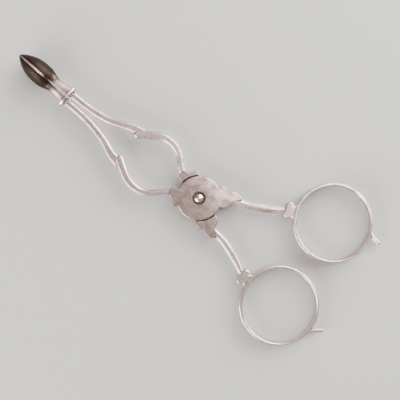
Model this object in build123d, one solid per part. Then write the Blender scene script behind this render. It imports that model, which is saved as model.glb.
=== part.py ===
from build123d import *
import os
from dataclasses import dataclass
from math import atan2, cos, degrees, hypot, radians, sin

# Scissor-action ice tongs in cast and wrought silver, lying closed with the rivet's domed head up.
# Two arms cross at a round half-lapped hinge. Each arm is soldered up from a hollow bowl, a collar,
# a long jaw arm, a C-shaped bow, a hinge plate, a shank, a ring block, a finger ring and a spur.
#
# Frame, in millimetres: the origin is on the hinge axis at the hinge's back face. +X runs from the
# hinge to the bowls, +Y to the side of the front arm's jaw, and +Z up through the rivet's head.

# --- Hinge -----------------------------------------------------------------------------------
DISC_RADIUS = 7.0
PLATE_THICKNESS = 1.8  # one arm's half of the lap
LAP_GAP = 0.05  # between the two plates
SHOULDER_CLEARANCE = 0.15  # between a disc and the other arm's shoulders
DISC_CHAMFER = 0.3
HINGE_HEIGHT = 2 * PLATE_THICKNESS + LAP_GAP
MID_HEIGHT = HINGE_HEIGHT / 2

# --- Pivot rivet -------------------------------------------------------------------------------
RIVET_RADIUS = 1.1
RIVET_RUNNING_CLEARANCE = 0.04  # in the back plate, which turns on the rivet
HEAD_RADIUS = 1.6
HEAD_HEIGHT = 1.0
DISH_RADIUS = 2.0  # the sunk seat round the head
DISH_DEPTH = 0.45
TAIL_RADIUS = 1.9  # the hammered end, spread into a countersink in the back plate
TAIL_DEPTH = 0.8

# --- Jaws: bows and long bars -------------------------------------------------------------------------------
JAW_REACH = 71.2  # hinge axis to the bowls' tips
BAR_WIDTH = 2.5
BAR_THICKNESS = 2.7
BAR_BEVEL = 0.5
SEAM_Y = 1.85  # the jaws close on a line this far off the hinge axis
SEAM_TILT = -1.3  # degrees, from the bars' ends to the tips
ROOT_RISE = 1.1  # from the disc's rim to where the bow's middle line starts

# --- Bowls and their collars -------------------------------------------------------------------
BOWL_LENGTH = 19.0
BOWL_DEPTH = 3.55  # seam to the fattest point of one bowl
BOWL_HALF_WIDTH = 4.3
BOWL_WALL = 0.6
BOWL_HOLLOW_LENGTH = 10.6
BOWL_HOLLOW_AT = 12.45  # collar to the middle of the hollow
RIM_GAP = 0.05  # from the seam to one bowl's rim
STEM_GAP = 0.18  # from the seam to one stem's flat back
COLLAR_LENGTH = 1.4
COLLAR_DEPTH = 3.7
COLLAR_HALF_WIDTH = 1.95
COLLAR_GROOVE = 0.6  # bare peg between the bar's end and the collar
COLLAR_ROUND = 0.55
PEG_RADIUS = 0.75
PEG_IN_BOWL = 2.0

# --- Handles -----------------------------------------------------------------------------------
RING_BORE_RADIUS = 11.4
RING_WALL = 0.95
RING_SWELL = 0.25  # how far the outside is set over towards the block
RING_DEPTH = 3.8
RING_ROUND = 0.25
BLOCK_LENGTH = 3.1  # ring's outside to the shank
BLOCK_LOBE_RADIUS = 1.35
BLOCK_LOBE_SPREAD = 1.25  # block's middle line to a lobe's centre
BLOCK_FOOT_HALF_WIDTH = 3.2  # where the block runs into the ring's wall
BLOCK_FOOT_HOLLOW = 0.35
BLOCK_THICKNESS = 3.3
BLOCK_CHAMFER = 0.3
SHANK_WIDTH = 2.5
SHANK_THICKNESS = 2.6
SHANK_SAG = 0.8  # how far the shank bends inwards
SPUR_REACH = 3.0  # ring's outside to the ball's centre
SPUR_WIDTH = 1.3
SPUR_THICKNESS = 1.6
SPUR_BEVEL = 0.28
SPUR_BALL_RADIUS = 0.82

BAR_END = JAW_REACH - BOWL_LENGTH - COLLAR_LENGTH - COLLAR_GROOVE
RING_OUTER_RADIUS = RING_BORE_RADIUS + RING_WALL


@dataclass(frozen=True)
class Arm:
    """What sets one arm apart from the other. The two were shaped and fitted by hand."""

    name: str
    side: int  # +1 where the jaw is on the +Y side and the handle on the -Y side
    jaw_set: float  # degrees round the hinge from +X to the bow's root
    handle_set: float  # degrees round the hinge from -X to the shank's root
    ring_reach: float  # hinge axis to the ring's axis
    ring_set: float  # degrees round the hinge from -X to the ring's axis
    shank_bevel: float
    block_lean: float  # degrees round the ring, outwards from the line to the hinge
    spur_lean: float  # degrees round the ring, inwards from the line away from the hinge to the ball
    spur_sweep: float  # degrees round the ring that the spur takes from its root to its ball
    bow: tuple  # (share of the way from rim to bar end, distance from the seam, share of width)
    jaw: tuple  # the same, for the long bar from knuckle to bowl


FRONT = Arm(
    name="front",
    side=1,
    jaw_set=25.8,
    handle_set=35.2,
    ring_reach=42.3,
    ring_set=29.2,
    shank_bevel=0.9,
    block_lean=6.0,
    spur_lean=13.0,
    spur_sweep=14.0,
    bow=(
        (0.087, 4.65, 0.78),
        (0.138, 6.80, 0.82),
        (0.195, 8.00, 0.88),
        (0.257, 8.30, 0.94),
        (0.322, 7.75, 1.00),
        (0.391, 6.25, 1.00),
        (0.453, 4.55, 1.02),
    ),
    jaw=(
        (0.457, 5.55, 1.16),
        (0.520, 5.05, 1.10),
        (0.585, 3.95, 0.99),
        (0.667, 2.80, 0.94),
        (0.759, 2.00, 0.92),
        (0.851, 1.55, 0.90),
        (0.930, 1.40, 0.90),
        (1.000, 1.35, 0.92),
    ),
)
BACK = Arm(
    name="back",
    side=-1,
    jaw_set=15.5,
    handle_set=24.6,
    ring_reach=41.5,
    ring_set=13.4,
    shank_bevel=0.6,
    block_lean=14.5,
    spur_lean=22.6,
    spur_sweep=21.0,
    bow=(
        (0.092, 6.25, 0.86),
        (0.143, 8.25, 0.86),
        (0.195, 9.40, 0.90),
        (0.257, 9.75, 0.94),
        (0.322, 9.15, 0.98),
        (0.391, 7.30, 0.98),
        (0.467, 5.00, 1.06),
    ),
    jaw=(
        (0.457, 6.25, 1.12),
        (0.520, 5.60, 1.06),
        (0.585, 4.50, 0.97),
        (0.667, 3.00, 0.92),
        (0.759, 2.05, 0.94),
        (0.851, 1.55, 0.90),
        (0.930, 1.40, 0.90),
        (1.000, 1.35, 0.92),
    ),
)

# A shoulder's outline: (degrees outwards from its set angle, height above the disc's rim).
JAW_SHOULDER = {
    "rim_out": (33.0, 0.0),
    "bead": (31.6, 1.15),
    "brow": (23.0, 1.38),
    "dip": (10.5, 1.75),
    "bow_out": (7.0, 2.60),
    "bow_in": (-6.2, 2.45),
    "heel": (-9.5, 0.95),
    "rim_in": (-11.0, 0.0),
}
HANDLE_SHOULDER = {
    "rim_out": (32.0, 0.0),
    "small_bump": (28.0, 1.95),
    "valley": (15.8, 2.30),
    "big_bump": (10.8, 5.30),
    "notch_out": (2.6, 6.30),
    "notch_in": (-2.8, 3.20),
    "heel": (-13.5, 2.10),
    "rim_in": (-18.0, 0.0),
}


def at(angle, radius, centre=(0.0, 0.0)):
    """The point at that angle, in degrees, and radius round a centre."""
    return (
        centre[0] + radius * cos(radians(angle)),
        centre[1] + radius * sin(radians(angle)),
    )


def jaw_point(arm, turn, rise):
    """A point of the jaw's shoulder, from its angle and its height above the rim."""
    return at(arm.side * (arm.jaw_set + turn), DISC_RADIUS + rise)


def handle_point(arm, turn, rise):
    """The same for the handle's shoulder, whose angles start at -X."""
    return at(180 + arm.side * (arm.handle_set + turn), DISC_RADIUS + rise)


def ring_centre(arm):
    return at(180 + arm.side * arm.ring_set, arm.ring_reach)


def block_angle(arm):
    """Direction, in degrees, from the ring's axis through the middle of its block."""
    return arm.side * (arm.ring_set - arm.block_lean)


def edges_of(stations):
    """The two edges, left and right, of a strip through stations of (x, y, width)."""
    left, right = [], []
    for i, (x, y, width) in enumerate(stations):
        before = stations[max(i - 1, 0)]
        after = stations[min(i + 1, len(stations) - 1)]
        heading = degrees(atan2(after[1] - before[1], after[0] - before[0]))
        left.append(at(heading + 90, width / 2, (x, y)))
        right.append(at(heading - 90, width / 2, (x, y)))
    return left, right


def strip_plan(stations, round_start=False, round_end=False):
    """The outline of a strip through stations of (x, y, width), with square or half-round ends."""
    left, right = edges_of(stations)

    def squarely(here, there):
        """The direction a quarter turn clockwise from here to there."""
        return (there[1] - here[1], here[0] - there[0])

    def end_edge(here, there, rounded):
        ahead = squarely(there, here)
        tip = ((here[0] + there[0] + ahead[0]) / 2, (here[1] + there[1] + ahead[1]) / 2)
        return ThreePointArc(here, tip, there) if rounded else Line(here, there)

    headings = [squarely(right[i], left[i]) for i in (0, -1)]
    return make_face(
        [
            Spline(left, tangents=headings),
            end_edge(left[-1], right[-1], round_end),
            Spline(right, tangents=headings),
            end_edge(right[0], left[0], round_start),
        ]
    )


def strip(plan, thickness, bevel):
    """A flat strip on that outline, at mid height, with its long edges and round ends bevelled."""
    solid = Pos(0, 0, MID_HEIGHT - thickness / 2) * extrude(plan, thickness)
    return chamfer(solid.edges().filter_by(lambda e: e.geom_type != GeomType.LINE), bevel)


def jaw_side_point(arm, along, off):
    """A point of the jaws' side, from its x and its distance from the seam."""
    return (along, SEAM_Y + arm.side * off)


def bar_stations(arm, shares):
    """Stations in the frame's x and y, from shares of the bar and distances from the seam."""
    span = BAR_END - DISC_RADIUS
    return [
        (*jaw_side_point(arm, DISC_RADIUS + share * span, off), BAR_WIDTH * width)
        for share, off, width in shares
    ]


def bow_plan(arm):
    """The bow's outline, from its root on the hinge shoulder to its rolled end at the knuckle."""
    root = (*jaw_point(arm, 0.0, ROOT_RISE), BAR_WIDTH * arm.bow[0][2])
    return strip_plan([root] + bar_stations(arm, arm.bow), round_end=True)


# --- The pieces of one arm ---------------------------------------------------------------------


def shoulder_faces(arm):
    """The plan of the two shoulders, each closed through the hinge axis."""
    jaw = {k: jaw_point(arm, *v) for k, v in JAW_SHOULDER.items()}
    handle = {k: handle_point(arm, *v) for k, v in HANDLE_SHOULDER.items()}
    centre = (0.0, 0.0)
    jaw_face = make_face(
        [
            Line(centre, jaw["rim_out"]),
            ThreePointArc(jaw["rim_out"], jaw["bead"], jaw["brow"]),
            ThreePointArc(jaw["brow"], jaw["dip"], jaw["bow_out"]),
            Line(jaw["bow_out"], jaw["bow_in"]),
            ThreePointArc(jaw["bow_in"], jaw["heel"], jaw["rim_in"]),
            Line(jaw["rim_in"], centre),
        ]
    )
    handle_face = make_face(
        [
            Line(centre, handle["rim_out"]),
            ThreePointArc(handle["rim_out"], handle["small_bump"], handle["valley"]),
            ThreePointArc(handle["valley"], handle["big_bump"], handle["notch_out"]),
            Line(handle["notch_out"], handle["notch_in"]),
            ThreePointArc(handle["notch_in"], handle["heel"], handle["rim_in"]),
            Line(handle["rim_in"], centre),
        ]
    )
    return jaw_face, handle_face


def hinge_plate(arm):
    """A half-thick disc with two full-thick shoulders that stand round the other arm's disc."""
    top = arm is FRONT
    own_floor = HINGE_HEIGHT - PLATE_THICKNESS if top else 0.0
    disc = Cylinder(DISC_RADIUS, PLATE_THICKNESS)
    rims = disc.edges().filter_by(GeomType.CIRCLE).sort_by(Axis.Z)
    disc = chamfer(rims[-1] if top else rims[0], DISC_CHAMFER)
    plate = Pos(0, 0, own_floor + PLATE_THICKNESS / 2) * disc
    clear = Pos(0, 0, MID_HEIGHT) * Cylinder(
        DISC_RADIUS + SHOULDER_CLEARANCE, HINGE_HEIGHT
    )
    for face in shoulder_faces(arm):
        wing = Pos(0, 0, own_floor) * extrude(face, PLATE_THICKNESS)
        wall = extrude(face, HINGE_HEIGHT) - clear
        if top:
            reach = Cylinder(DISC_RADIUS - DISC_CHAMFER, HINGE_HEIGHT)
            wing = wing - Pos(0, 0, MID_HEIGHT) * reach
        plate = plate + wing + wall
    return plate


def front_plate(arm):
    """The front plate holds the rivet: a tight hole, and a shallow dish round its head."""
    dish = Pos(0, 0, HINGE_HEIGHT - DISH_DEPTH / 2) * Cylinder(DISH_RADIUS, DISH_DEPTH)
    hole = Pos(0, 0, MID_HEIGHT) * Cylinder(RIVET_RADIUS, HINGE_HEIGHT)
    return hinge_plate(arm) - dish - hole


def back_plate(arm):
    """The back plate turns on the rivet, and is countersunk for the rivet's spread end."""
    radius = RIVET_RADIUS + RIVET_RUNNING_CLEARANCE
    hole = Pos(0, 0, MID_HEIGHT) * Cylinder(radius, HINGE_HEIGHT)
    return hinge_plate(arm) - hole - tail_cone(RIVET_RUNNING_CLEARANCE)


def tail_cone(clearance):
    """The rivet's spread end, or with a clearance the countersink it turns in."""
    cone = Cone(TAIL_RADIUS + clearance, RIVET_RADIUS + clearance, TAIL_DEPTH)
    return Pos(0, 0, TAIL_DEPTH / 2) * cone


def bow(arm, plate):
    """The C-shaped bow."""
    return strip(bow_plan(arm), BAR_THICKNESS, BAR_BEVEL) - plate


def jaw_arm(arm, its_bow):
    """The long bar soldered to the bow's side, with the peg that the collar slides over."""
    plan = strip_plan(bar_stations(arm, arm.jaw), round_start=True)
    return strip(plan, BAR_THICKNESS, BAR_BEVEL) - its_bow + peg(arm)


def peg(arm):
    """The round peg on the bar's end, tilted with the seam."""
    length = COLLAR_GROOVE + COLLAR_LENGTH + PEG_IN_BOWL
    overlap = PEG_RADIUS / 2
    x, y = BAR_END, SEAM_Y + arm.side * arm.jaw[-1][1]
    rod = Pos((length - overlap) / 2, 0, 0) * Rot(0, 90, 0) * Cylinder(
        PEG_RADIUS, length + overlap
    )
    return Pos(x, y, MID_HEIGHT) * Rot(0, 0, SEAM_TILT) * rod


def bowl_location(arm):
    """The bowl's own frame: x along the seam from the bar's end, y away from the seam."""
    place = Pos(BAR_END, SEAM_Y, MID_HEIGHT) * Rot(0, 0, SEAM_TILT)
    return place if arm.side > 0 else place * Rot(180, 0, 0)


def half_round(along, depth, half_width, gap):
    """A D-shaped section across the seam, flat at the gap and round on the outside."""
    plane = Plane(origin=(along, 0, 0), x_dir=(0, 1, 0), z_dir=(1, 0, 0))
    curve = EllipticalCenterArc(
        (gap, 0), x_radius=depth - gap, y_radius=half_width, start_angle=-90, arc_size=180
    )
    return plane * make_face([curve, Line(curve @ 1, curve @ 0)])


def collar(arm):
    """The half-round collar that covers the joint between bar and bowl."""
    start = COLLAR_GROOVE
    ring = extrude(
        half_round(start, COLLAR_DEPTH, COLLAR_HALF_WIDTH, STEM_GAP), COLLAR_LENGTH
    )
    curved = ring.edges().filter_by(lambda e: e.geom_type != GeomType.LINE)
    ring = fillet(curved, COLLAR_ROUND)
    return bowl_location(arm) * ring - peg(arm)


def bowl(arm):
    """The hollow bowl: half a bud, on a waisted stem that starts at the collar."""
    start = COLLAR_GROOVE + COLLAR_LENGTH
    # (share of the bowl's length, share of its depth, share of its half width, gap to the seam)
    stations = (
        (0.00, 0.88, 0.36, STEM_GAP),
        (0.06, 0.76, 0.33, STEM_GAP),
        (0.18, 0.66, 0.33, STEM_GAP),
        (0.31, 0.78, 0.52, STEM_GAP),
        (0.42, 0.95, 0.82, RIM_GAP),
        (0.54, 1.00, 1.00, RIM_GAP),
        (0.67, 0.95, 0.99, RIM_GAP),
        (0.80, 0.75, 0.82, RIM_GAP),
        (0.90, 0.47, 0.56, RIM_GAP),
        (0.96, 0.24, 0.32, RIM_GAP),
        (1.00, 0.06, 0.09, RIM_GAP),
    )
    shell = loft(
        [
            half_round(
                start + share * BOWL_LENGTH,
                BOWL_DEPTH * depth,
                BOWL_HALF_WIDTH * width,
                gap,
            )
            for share, depth, width, gap in stations
        ]
    )
    hollow = Pos(start + BOWL_HOLLOW_AT, 0, 0) * scale(
        Sphere(1.0),
        by=(BOWL_HOLLOW_LENGTH / 2, BOWL_DEPTH - BOWL_WALL, BOWL_HALF_WIDTH - BOWL_WALL),
    )
    return bowl_location(arm) * (shell - hollow) - peg(arm)


def finger_ring(arm):
    """The finger ring: a band whose wall swells towards its block."""
    x, y = ring_centre(arm)
    set_over = at(block_angle(arm), RING_SWELL)
    outside = Pos(*set_over) * fillet(
        Cylinder(RING_OUTER_RADIUS, RING_DEPTH).edges().filter_by(GeomType.CIRCLE),
        RING_ROUND,
    )
    bore = Cylinder(RING_BORE_RADIUS, RING_DEPTH)
    mouths = [
        Pos(0, 0, end * (RING_DEPTH - RING_ROUND) / 2)
        * Rot(0 if end > 0 else 180, 0, 0)
        * Cone(RING_BORE_RADIUS, RING_BORE_RADIUS + RING_ROUND, RING_ROUND)
        for end in (-1, 1)
    ]
    band = outside - bore
    for mouth in mouths:
        band = band - mouth
    return Pos(x, y, MID_HEIGHT) * band


def block_frame(arm):
    """Plan frame of the block: x outwards from the ring's axis, y across."""
    x, y = ring_centre(arm)
    return Pos(x, y, MID_HEIGHT) * Rot(0, 0, block_angle(arm))


def ring_block(arm, ring):
    """The block between ring and shank: two lobes side by side, on a foot that spreads onto the ring."""
    outside = RING_OUTER_RADIUS + RING_SWELL
    near, far = outside - RING_WALL, outside + BLOCK_LENGTH
    lobe_at = far - BLOCK_LOBE_RADIUS
    waist = ((near + lobe_at) / 2, (BLOCK_FOOT_HALF_WIDTH + BLOCK_LOBE_SPREAD) / 2 - BLOCK_FOOT_HOLLOW)
    foot = make_face(
        [
            ThreePointArc((near, BLOCK_FOOT_HALF_WIDTH), waist, (lobe_at, BLOCK_LOBE_SPREAD)),
            Line((lobe_at, BLOCK_LOBE_SPREAD), (lobe_at, -BLOCK_LOBE_SPREAD)),
            ThreePointArc(
                (lobe_at, -BLOCK_LOBE_SPREAD), (waist[0], -waist[1]), (near, -BLOCK_FOOT_HALF_WIDTH)
            ),
            Line((near, -BLOCK_FOOT_HALF_WIDTH), (near, BLOCK_FOOT_HALF_WIDTH)),
        ]
    )
    plan = foot + Pos((lobe_at + far) / 2, 0) * Rectangle(far - lobe_at, 2 * BLOCK_LOBE_SPREAD)
    for across in (-1, 1):
        plan = plan + Pos(lobe_at, across * BLOCK_LOBE_SPREAD) * Circle(BLOCK_LOBE_RADIUS)
    solid = Pos(0, 0, -BLOCK_THICKNESS / 2) * extrude(plan, BLOCK_THICKNESS)
    flats = solid.faces().filter_by(Axis.Z).sort_by(Axis.Z)
    solid = chamfer(flats[0].edges() + flats[-1].edges(), BLOCK_CHAMFER)
    core = Cylinder(RING_BORE_RADIUS + RING_WALL / 2, 2 * RING_DEPTH)
    return block_frame(arm) * (solid - core) - ring


def shank(arm, plate, block):
    """The handle's shank, from the hinge shoulder to the ring block, bent a little inwards."""
    turn_out, rise_out = HANDLE_SHOULDER["notch_out"]
    turn_in, rise_in = HANDLE_SHOULDER["notch_in"]
    outer = handle_point(arm, turn_out, rise_out)
    inner = handle_point(arm, turn_in, rise_in)
    root = ((outer[0] + inner[0]) / 2, (outer[1] + inner[1]) / 2)
    far = RING_OUTER_RADIUS + RING_SWELL + BLOCK_LENGTH / 2
    end = at(block_angle(arm), far, ring_centre(arm))
    chord = (end[0] - root[0], end[1] - root[1])
    length = hypot(*chord)
    across = (-chord[1] / length * arm.side, chord[0] / length * arm.side)
    # (share of the chord, share of the sag, share of the width)
    shape = (
        (-0.12, -0.35, 0.84),
        (0.00, 0.00, 0.88),
        (0.20, 0.80, 0.96),
        (0.42, 1.00, 1.02),
        (0.65, 0.85, 0.94),
        (0.85, 0.40, 0.82),
        (1.00, 0.00, 0.78),
    )
    stations = [
        (
            root[0] + share * chord[0] - sag * SHANK_SAG * across[0],
            root[1] + share * chord[1] - sag * SHANK_SAG * across[1],
            SHANK_WIDTH * width,
        )
        for share, sag, width in shape
    ]
    return strip(strip_plan(stations), SHANK_THICKNESS, arm.shank_bevel) - plate - block


def spur(arm, ring):
    """The curled rest on the ring's far side: it leaves along the ring, turns out and ends in a ball."""
    centre = ring_centre(arm)
    ball_turn = 180 + arm.side * (arm.ring_set - arm.spur_lean)
    # (share of the sweep, share of the reach, share of the width)
    shape = ((1.00, -0.12, 0.62), (0.62, 0.04, 0.82), (0.28, 0.36, 1.00), (0.00, 1.00, 0.92))
    stations = [
        (
            *at(
                ball_turn + arm.side * sweep * arm.spur_sweep,
                RING_OUTER_RADIUS - RING_SWELL + reach * SPUR_REACH,
                centre,
            ),
            SPUR_WIDTH * width,
        )
        for sweep, reach, width in shape
    ]
    ball = Pos(*stations[-1][:2], MID_HEIGHT) * Sphere(SPUR_BALL_RADIUS)
    tail = strip(strip_plan(stations, round_end=True), SPUR_THICKNESS, SPUR_BEVEL)
    keep = Pos(*centre, MID_HEIGHT) * Cylinder(RING_BORE_RADIUS + RING_WALL / 3, 2 * RING_DEPTH)
    return tail + ball - keep - ring


def pivot_rivet():
    """The rivet: a domed head in front, a plain shank, and an end spread flush at the back."""
    head_seat = HINGE_HEIGHT - DISH_DEPTH
    sphere_radius = (HEAD_RADIUS**2 + HEAD_HEIGHT**2) / (2 * HEAD_HEIGHT)
    cap = Pos(0, 0, head_seat + HEAD_HEIGHT - sphere_radius) * Sphere(sphere_radius)
    block = Pos(0, 0, head_seat + HEAD_HEIGHT) * Cylinder(HEAD_RADIUS, 2 * HEAD_HEIGHT)
    rod = Pos(0, 0, head_seat / 2) * Cylinder(RIVET_RADIUS, head_seat)
    return rod + (cap & block) + tail_cone(0.0)


def arm_pieces(arm):
    """Every piece of one arm, by node name."""
    plate = front_plate(arm) if arm is FRONT else back_plate(arm)
    its_bow = bow(arm, plate)
    ring = finger_ring(arm)
    block = ring_block(arm, ring)
    return {
        f"{arm.name}_bowl": bowl(arm),
        f"{arm.name}_collar": collar(arm),
        f"{arm.name}_jaw_arm": jaw_arm(arm, its_bow),
        f"{arm.name}_bow": its_bow,
        f"{arm.name}_hinge_plate": plate,
        f"{arm.name}_shank": shank(arm, plate, block),
        f"{arm.name}_ring_block": block,
        f"{arm.name}_finger_ring": ring,
        f"{arm.name}_spur": spur(arm, ring),
    }


pieces = {
    **arm_pieces(FRONT),
    **arm_pieces(BACK),
    "pivot_rivet": pivot_rivet(),
}

os.makedirs("parts", exist_ok=True)
for node, shape in pieces.items():
    export_step(shape, f"parts/{node}.step")
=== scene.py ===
from math import cos, radians, sin, tan

import bpy
from mathutils import Matrix, Vector


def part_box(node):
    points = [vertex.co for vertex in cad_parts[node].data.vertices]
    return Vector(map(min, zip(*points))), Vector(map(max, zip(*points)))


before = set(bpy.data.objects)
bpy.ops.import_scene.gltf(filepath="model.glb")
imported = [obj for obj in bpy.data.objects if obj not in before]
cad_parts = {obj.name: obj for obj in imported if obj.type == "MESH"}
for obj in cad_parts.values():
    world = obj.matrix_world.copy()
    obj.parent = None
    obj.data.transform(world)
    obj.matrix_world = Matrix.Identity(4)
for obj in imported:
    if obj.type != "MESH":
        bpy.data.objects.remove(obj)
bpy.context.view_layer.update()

MM = 0.001

# ---------------------------------------------------------------------------
# Bowls: two half buds in cast sterling silver, hollow inside and soldered to
# the bars. They are never polished, so sulphide tarnish has turned them
# nearly black, except on the waisted necks and where the two rims rub.
# ---------------------------------------------------------------------------


def colour(hex_code):
    """An sRGB hex colour as linear RGBA."""
    channels = [int(hex_code[i : i + 2], 16) / 255 for i in (1, 3, 5)]
    return (*(c / 12.92 if c <= 0.04045 else ((c + 0.055) / 1.055) ** 2.4 for c in channels), 1.0)


def add(tree, kind, *values, out=0, **settings):
    """Adds a shader node with its settings, and gives back one of its outputs.

    The values fill its inputs in order. Each is a number, a colour or another node's output,
    or None where the input keeps its own value.
    """
    made = tree.nodes.new("ShaderNode" + kind)
    for key, value in settings.items():
        setattr(made, key, value)
    inputs = [socket for socket in made.inputs if socket.enabled]
    for socket, value in zip(inputs, values):
        if isinstance(value, bpy.types.NodeSocket):
            tree.links.new(value, socket)
        elif value is not None:
            socket.default_value = value
    return [socket for socket in made.outputs if socket.enabled][out]


# Tarnish lies in soft patches. A noise gives them, which stays near a half: between these two
# levels it goes from covering the metal nowhere to covering it everywhere.
COVER_NONE = 0.38
COVER_ALL = 0.62
PATCH_EDGE = 0.16
PATCH_DEPTH = 0.003
PATCH_NOISE = (5.0, 0.55)
# Pits of the casting, brown inside, in mm. They are coarser than real ones so that they show.
PIT = 0.42
PIT_DEPTH = 0.003
PIT_NOISE = (3.0, 0.7)
PIT_LEVELS = (0.34, 0.50)
PIT_COVER = 0.35
PIT_TONE = "#54433d"
# Hairlines from the polishing cloth, in mm. Real ones are finer than this and wouldn't show.
HAIR_LENGTH = 2.5
HAIR_WIDTH = 1 / 7
HAIR_TURN = (0.3, 0.2, 0.7)
HAIR_DETAIL = 2.0
HAIR_LEVELS = (0.35, 0.65)
HAIR_GLOSS = 0.05
# Painted shade: the colour darkens, and roughens, in corners and under steps less than 0.8 mm
# across, where ambient occlusion finds them.
CORNER = 0.8
CORNER_LEVELS = (0.3, 0.8)
SHADE_AND_DIRT_TONE = "#30251f"
SHADE_AND_DIRT_COVER = 0.8
SHADE_AND_DIRT_ROUGH = 0.25
SOFT = {"interpolation_type": "SMOOTHSTEP"}


def silver(
    name,
    bare,
    tarnish,
    cover,
    gloss,
    patch=2.4,
    rubbed=0.0008,
    film_mask=None,
    shade_and_dirt_mask=None,
    swell=None,
):
    """Sterling silver: a warm pale mirror under soft patches of tarnish, with painted shade in
    corners.

    cover is the share that tarnish takes, gloss the roughness of bare and of tarnished metal,
    patch the size of the patches in mm and rubbed the depth of the hairlines in mm. film_mask
    changes the tarnish, and shade_and_dirt_mask and swell add to the painted shade and dirt and to
    the height in mm.
    """
    material = bpy.data.materials.new(name)
    material.use_nodes = True
    tree = material.node_tree
    shader = tree.nodes["Principled BSDF"]
    shader.inputs["Metallic"].default_value = 1.0
    place = tree.nodes.new("ShaderNodeTexCoord").outputs["Object"]

    patches = add(tree, "TexNoise", place, 1 / (patch * MM), *PATCH_NOISE)
    pits = add(tree, "TexNoise", place, 1 / (PIT * MM), *PIT_NOISE)
    hair_scale = (1 / (HAIR_LENGTH * MM), 1 / (HAIR_WIDTH * MM), 1 / (HAIR_WIDTH * MM))
    along = add(tree, "Mapping", place, None, HAIR_TURN, hair_scale)
    hairs = add(tree, "TexNoise", along, 1.0, HAIR_DETAIL)

    # Painted shade: where ambient occlusion finds a corner, the colour below turns dark brown.
    openness = add(tree, "AmbientOcclusion", None, CORNER * MM, out=1, samples=8)
    shade_and_dirt = add(tree, "MapRange", openness, *CORNER_LEVELS, 1.0, 0.0, **SOFT)
    if shade_and_dirt_mask:
        shade_and_dirt = add(tree, "Math", shade_and_dirt, shade_and_dirt_mask(tree, place), operation="MAXIMUM")
    level = COVER_NONE + (COVER_ALL - COVER_NONE) * cover
    edges = (level - PATCH_EDGE, level + PATCH_EDGE)
    film = add(tree, "MapRange", patches, *edges, 1.0, 0.0, **SOFT)
    if film_mask:
        film = film_mask(tree, place, film)

    tone = add(tree, "Mix", film, colour(bare), colour(tarnish), data_type="RGBA")
    speckle = add(tree, "MapRange", pits, *PIT_LEVELS, PIT_COVER, 0.0, **SOFT)
    speckle = add(tree, "Math", speckle, film, operation="MULTIPLY")
    tone = add(tree, "Mix", speckle, tone, colour(PIT_TONE), data_type="RGBA")
    # Painted shade, and the worn ring on the plates, mixed into the colour as a dark brown.
    shade_and_dirt_share = add(tree, "Math", shade_and_dirt, SHADE_AND_DIRT_COVER, operation="MULTIPLY")
    tone = add(tree, "Mix", shade_and_dirt_share, tone, colour(SHADE_AND_DIRT_TONE), data_type="RGBA")
    tree.links.new(tone, shader.inputs["Base Color"])

    rough = add(tree, "MapRange", film, 0.0, 1.0, *gloss, **SOFT)
    streaks = add(tree, "MapRange", hairs, *HAIR_LEVELS, -HAIR_GLOSS, HAIR_GLOSS, **SOFT)
    rough = add(tree, "Math", rough, streaks, operation="ADD")
    rough = add(tree, "Math", shade_and_dirt, SHADE_AND_DIRT_ROUGH, rough, operation="MULTIPLY_ADD")
    tree.links.new(rough, shader.inputs["Roughness"])

    height = add(tree, "Math", pits, PIT_DEPTH, operation="MULTIPLY")
    height = add(tree, "Math", hairs, rubbed, height, operation="MULTIPLY_ADD")
    height = add(tree, "Math", patches, PATCH_DEPTH, height, operation="MULTIPLY_ADD")
    if swell:
        height = add(tree, "Math", height, swell(tree, place), operation="ADD")
    bump = add(tree, "Bump", 1.0, MM)
    tree.links.new(height, bump.node.inputs["Height"])
    tree.links.new(bump, shader.inputs["Normal"])
    return material


# Wear rounds every edge that turns by more than this, in degrees, and rubbing evens the skin.
EDGE_ANGLE = 50
EDGE_STEPS = 2
RUBBINGS = 4


def finish(endings, material, grain, edge=0.0):
    """Gives both halves' pieces with these endings a material and the skin of a worn casting.

    edge is the bevel that wear has put on sharp edges and grain the fineness of the skin, in mm.
    """
    for name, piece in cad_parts.items():
        if not name.endswith(endings):
            continue
        piece.data.materials.clear()
        piece.data.materials.append(material)
        if edge:
            bevel = piece.modifiers.new("worn edge", "BEVEL")
            bevel.width = edge * MM
            bevel.segments = EDGE_STEPS
            bevel.limit_method = "ANGLE"
            bevel.angle_limit = radians(EDGE_ANGLE)
            bevel.use_clamp_overlap = False
        skin = piece.modifiers.new("skin", "REMESH")
        skin.mode = "VOXEL"
        skin.voxel_size = grain * MM
        skin.use_smooth_shade = True
        smooth = piece.modifiers.new("rubbed", "SMOOTH")
        smooth.iterations = RUBBINGS


# Where the neck's thin tarnish closes up, along X, and how far its edge wanders, in mm.
NECK_FROM = 55.7
NECK_TO = 63.2
WANDER = 9.0
WANDER_PATCH = 1.6
WANDER_NOISE = (6.0, 0.7)
NECK_SHARE = 0.5
# The bright line on the closed rims: where it begins and ends along X, and its half width.
RIM_FROM = (64.5, 67.0)
RIM_END = (67.5, 69.5)
RIM_HALF_WIDTH = (0.12, 0.42)
RIM_BRIGHT = 0.95
# The closed rims meet along a line through this point, which leans by so many degrees.
SEAM_X = 50.5
SEAM_Y = 1.85
SEAM_LEAN = 1.3


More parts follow.
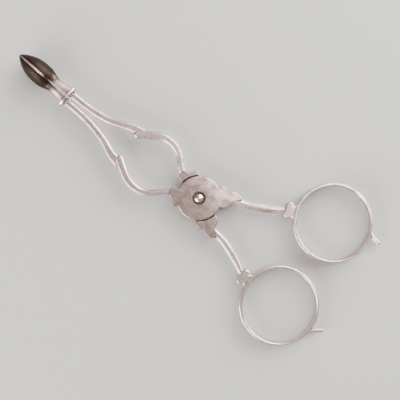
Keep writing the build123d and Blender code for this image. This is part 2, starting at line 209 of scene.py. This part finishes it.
def bowl_film(tree, place, film):
    """Tarnish is thin on the neck, complete past it, and rubbed off along the closed rims."""
    x, y = (add(tree, "SeparateXYZ", place, out=axis) for axis in (0, 1))
    cloud = add(tree, "TexNoise", place, 1 / (WANDER_PATCH * MM), *WANDER_NOISE)
    ragged = add(tree, "Math", cloud, WANDER * MM, x, operation="MULTIPLY_ADD")
    past_neck = add(tree, "MapRange", ragged, NECK_FROM * MM, NECK_TO * MM, 0.0, 1.0, **SOFT)
    from_seam = add(tree, "Math", x, SEAM_X * MM, operation="SUBTRACT")
    lean = -tan(radians(SEAM_LEAN))
    seam_y = add(tree, "Math", from_seam, lean, SEAM_Y * MM, operation="MULTIPLY_ADD")
    aside = add(tree, "Math", y, seam_y, operation="SUBTRACT")
    aside = add(tree, "Math", aside, operation="ABSOLUTE")

    rim = add(tree, "MapRange", aside, *(w * MM for w in RIM_HALF_WIDTH), 1.0, 0.0, **SOFT)
    begun = add(tree, "MapRange", ragged, *(x_at * MM for x_at in RIM_FROM), 0.0, 1.0, **SOFT)
    ended = add(tree, "MapRange", x, *(x_at * MM for x_at in RIM_END), 1.0, 0.0, **SOFT)
    rim = add(tree, "Math", rim, begun, operation="MULTIPLY")
    rim = add(tree, "Math", rim, ended, operation="MULTIPLY")
    rim = add(tree, "Math", rim, RIM_BRIGHT, operation="MULTIPLY")
    thin = add(tree, "Math", film, NECK_SHARE, operation="MULTIPLY")
    film = add(tree, "Math", thin, past_neck, operation="MAXIMUM")
    return add(tree, "Math", film, rim, operation="SUBTRACT")


# Cast silver left to tarnish: a dull brown black with a soft sheen.
TARNISHED = silver(
    "tarnished_cast_silver",
    "#dcbbb0",
    "#2b211c",
    cover=0.7,
    gloss=(0.32, 0.50),
    patch=1.8,
    film_mask=bowl_film,
)
finish("bowl", TARNISHED, grain=0.09)

# ---------------------------------------------------------------------------
# Collars, jaw arms, bows and shanks: sterling silver bars, forged and then
# filed to bevels along both edges. The half-round collars hide the joints
# between bars and bowls, and the rolled ends of the bows stand as knuckles.
# ---------------------------------------------------------------------------

# Filed and polished bar: bright and faintly pink, clouded in patches, with long soft glints.
POLISHED = silver("polished_bar_silver", "#e6cfcd", "#bfa5a2", cover=0.5, gloss=(0.26, 0.34))
finish(("collar", "jaw_arm", "bow", "shank"), POLISHED, grain=0.08)

# ---------------------------------------------------------------------------
# Hinge plates: silver castings with scrolled shoulders, half as thick where
# they lap. They are filed by hand, so the faces are slightly domed and show
# one broad facet towards the handle.
# ---------------------------------------------------------------------------

# The dome drops this far, in mm, at the disc's rim.
DOME_DROP = 0.1715
DISC_RADIUS = 7.0
# The facet: the way it faces, how far off the hinge it begins in mm, and its fall in mm a metre.
FACET_TOWARD = (-0.70, -0.72)
FACET_FROM = 3.1
FACET_FALL = -30.0
# The rivet's seat, where shade is painted, and a faint ring worn round it: radii and width in mm.
SEAT_RADII = (1.9, 2.3)
WORN_RING_RADIUS = 2.9
WORN_RING_HALF_WIDTH = 0.3
WORN_RING_DIRT = 0.3


def plate_swell(tree, place):
    """A shallow dome and a facet along the handle side, in millimetres."""
    x, y = (add(tree, "SeparateXYZ", place, out=axis) for axis in (0, 1))
    square = add(tree, "Math", y, y, operation="MULTIPLY")
    square = add(tree, "Math", x, x, square, operation="MULTIPLY_ADD")
    dome = add(tree, "Math", square, -DOME_DROP / (DISC_RADIUS * MM) ** 2, operation="MULTIPLY")
    across = add(tree, "Math", y, FACET_TOWARD[1], operation="MULTIPLY")
    across = add(tree, "Math", x, FACET_TOWARD[0], across, operation="MULTIPLY_ADD")
    beyond = add(tree, "Math", across, FACET_FROM * MM, operation="SUBTRACT")
    beyond = add(tree, "Math", beyond, 0.0, operation="MAXIMUM")
    return add(tree, "Math", beyond, FACET_FALL, dome, operation="MULTIPLY_ADD")


def rivet_seat_shade_and_ring(tree, place):
    """Painted shade, black, in the rivet's seat, and a faint ring worn round it."""
    flat = add(tree, "VectorMath", place, (1.0, 1.0, 0.0), operation="MULTIPLY")
    away = add(tree, "VectorMath", flat, operation="LENGTH")
    # Painted shade in the recess round the rivet's head.
    seat_shade = add(tree, "MapRange", away, *(r * MM for r in SEAT_RADII), 1.0, 0.0, **SOFT)
    off = add(tree, "Math", away, WORN_RING_RADIUS * MM, operation="SUBTRACT")
    off = add(tree, "Math", off, operation="ABSOLUTE")
    width = WORN_RING_HALF_WIDTH * MM
    ring = add(tree, "MapRange", off, 0.0, width, WORN_RING_DIRT, 0.0, **SOFT)
    return add(tree, "Math", seat_shade, ring, operation="MAXIMUM")


# Hand-filed casting: greyer and duller than the bars, stained unevenly.
FILED = silver(
    "filed_cast_silver",
    "#ccb3ad",
    "#8e7670",
    cover=0.55,
    gloss=(0.28, 0.40),
    patch=2.8,
    rubbed=0.0004,
    shade_and_dirt_mask=rivet_seat_shade_and_ring,
    swell=plate_swell,
)
finish("hinge_plate", FILED, grain=0.09, edge=0.28)

# ---------------------------------------------------------------------------
# Rivet: one soft silver rivet through both plates. Its head is hammered to a
# low dome, and the other end is spread into a countersink at the back.
# ---------------------------------------------------------------------------

# Hammered and rubbed: the brightest metal on the tongs, almost a mirror on top.
HAMMERED = silver("hammered_silver", "#f0ddd6", "#9d8478", cover=0.35, gloss=(0.2, 0.36), patch=1.2)
finish("rivet", HAMMERED, grain=0.05)

# ---------------------------------------------------------------------------
# Finger rings with their blocks and spurs: silver strip bent round and
# soldered to a cast block, with a small curled rest for a finger outside.
# ---------------------------------------------------------------------------

# Worn by fingers: pale and evenly smooth, with broad faint clouds.
WORN = silver(
    "finger_worn_silver",
    "#eed8d3",
    "#bca29c",
    cover=0.4,
    gloss=(0.24, 0.34),
    patch=4.0,
    rubbed=0.0004,
)
finish("finger_ring", WORN, grain=0.12)
finish("spur", WORN, grain=0.08)
finish("ring_block", WORN, grain=0.08, edge=0.2)

# ---------------------------------------------------------------------------
# Floor: a sheet of pale matt paper, tilted so that both the deep bowls and
# the shallower finger rings rest on it.
# ---------------------------------------------------------------------------

# The sheet's half side in metres, where along X it meets the bowls and the rings, and the hair's
# breadth that it stays below them.
FLOOR_HALF = 0.9
BOWL_X = 61 * MM
RING_X = -49 * MM
FLOOR_GAP = 0.2 * MM
PAPER_ROUGH = 0.9
PAPER_SHEEN = 0.1
bowl_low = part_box("front_bowl")[0][2]
ring_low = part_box("front_finger_ring")[0][2]
slope = (bowl_low - ring_low) / (BOWL_X - RING_X)
corners = []
for side_x, side_y in ((-1, -1), (1, -1), (1, 1), (-1, 1)):
    x = side_x * FLOOR_HALF
    corners.append((x, side_y * FLOOR_HALF, ring_low - FLOOR_GAP + slope * (x - RING_X)))
floor_mesh = bpy.data.meshes.new("floor")
floor_mesh.from_pydata(corners, [], [(0, 1, 2, 3)])
floor = bpy.data.objects.new("floor", floor_mesh)
bpy.context.scene.collection.objects.link(floor)
paper = bpy.data.materials.new("matt_paper")
paper.use_nodes = True
paper_shader = paper.node_tree.nodes["Principled BSDF"]
paper_shader.inputs["Base Color"].default_value = colour("#b0aeab")
paper_shader.inputs["Roughness"].default_value = PAPER_ROUGH
paper_shader.inputs["Specular IOR Level"].default_value = PAPER_SHEEN
floor_mesh.materials.append(paper)

# ---------------------------------------------------------------------------
# Light: three white softboxes that face the hinge, low ones to the right and
# the left and a small high one, in an even pale room.
# ---------------------------------------------------------------------------

# The tongs lie turned under the camera, with the bowls to the upper left.
TURN = radians(140.26)
VIEW_RIGHT = Vector((cos(TURN), -sin(TURN), 0))
VIEW_UP = Vector((-VIEW_RIGHT.y, VIEW_RIGHT.x, 0))
LIGHT_AWAY = 0.55
ROOM_STRENGTH = 0.68


def softbox(name, toward, elevation, width, height, watts):
    """A rectangular soft light that faces the hinge, elevation degrees above the floor."""
    lamp = bpy.data.lights.new(name, "AREA")
    lamp.shape = "RECTANGLE"
    lamp.size = width
    lamp.size_y = height
    lamp.energy = watts
    holder = bpy.data.objects.new(name, lamp)
    bpy.context.scene.collection.objects.link(holder)
    up = radians(elevation)
    place = LIGHT_AWAY * (cos(up) * toward.normalized() + Vector((0, 0, sin(up))))
    holder.location = place
    holder.rotation_euler = (-place).to_track_quat("-Z", "Y").to_euler()


softbox("box_right", VIEW_RIGHT + VIEW_UP, 24, width=0.70, height=0.42, watts=11.0)
softbox("box_left", -VIEW_RIGHT - 0.8 * VIEW_UP, 24, width=0.50, height=0.42, watts=7.5)
softbox("box_top", VIEW_RIGHT + VIEW_UP, 62, width=0.36, height=0.36, watts=2.5)
world = bpy.data.worlds.new("world")
bpy.context.scene.world = world
world.use_nodes = True
room = world.node_tree.nodes["Background"]
room.inputs["Color"].default_value = colour("#dad8d6")
room.inputs["Strength"].default_value = ROOM_STRENGTH

# ---------------------------------------------------------------------------
# Camera: straight above the hinge, 0.25 m from the plane where its plates
# lap, over a field 124 mm wide in which the tongs lie corner to corner.
# ---------------------------------------------------------------------------
FIELD = 124 * MM
HEIGHT = 0.25
SENSOR = 36.0
LAP_HEIGHT = 1.8 * MM
# The middle of the field lies this far from the hinge.
AIM_RIGHT = 0.34 * MM
AIM_UP = -0.53 * MM
lens = bpy.data.cameras.new("camera")
lens.sensor_width = SENSOR
lens.lens = SENSOR * HEIGHT / FIELD
lens.clip_start = 0.01
lens.clip_end = 5.0
camera = bpy.data.objects.new("camera", lens)
bpy.context.scene.collection.objects.link(camera)
bpy.context.scene.camera = camera
aim = AIM_RIGHT * VIEW_RIGHT + AIM_UP * VIEW_UP
stand = Matrix((VIEW_RIGHT, VIEW_UP, Vector((0, 0, 1)))).transposed()
camera.matrix_world = Matrix.Translation((aim.x, aim.y, HEIGHT + LAP_HEIGHT)) @ stand.to_4x4()
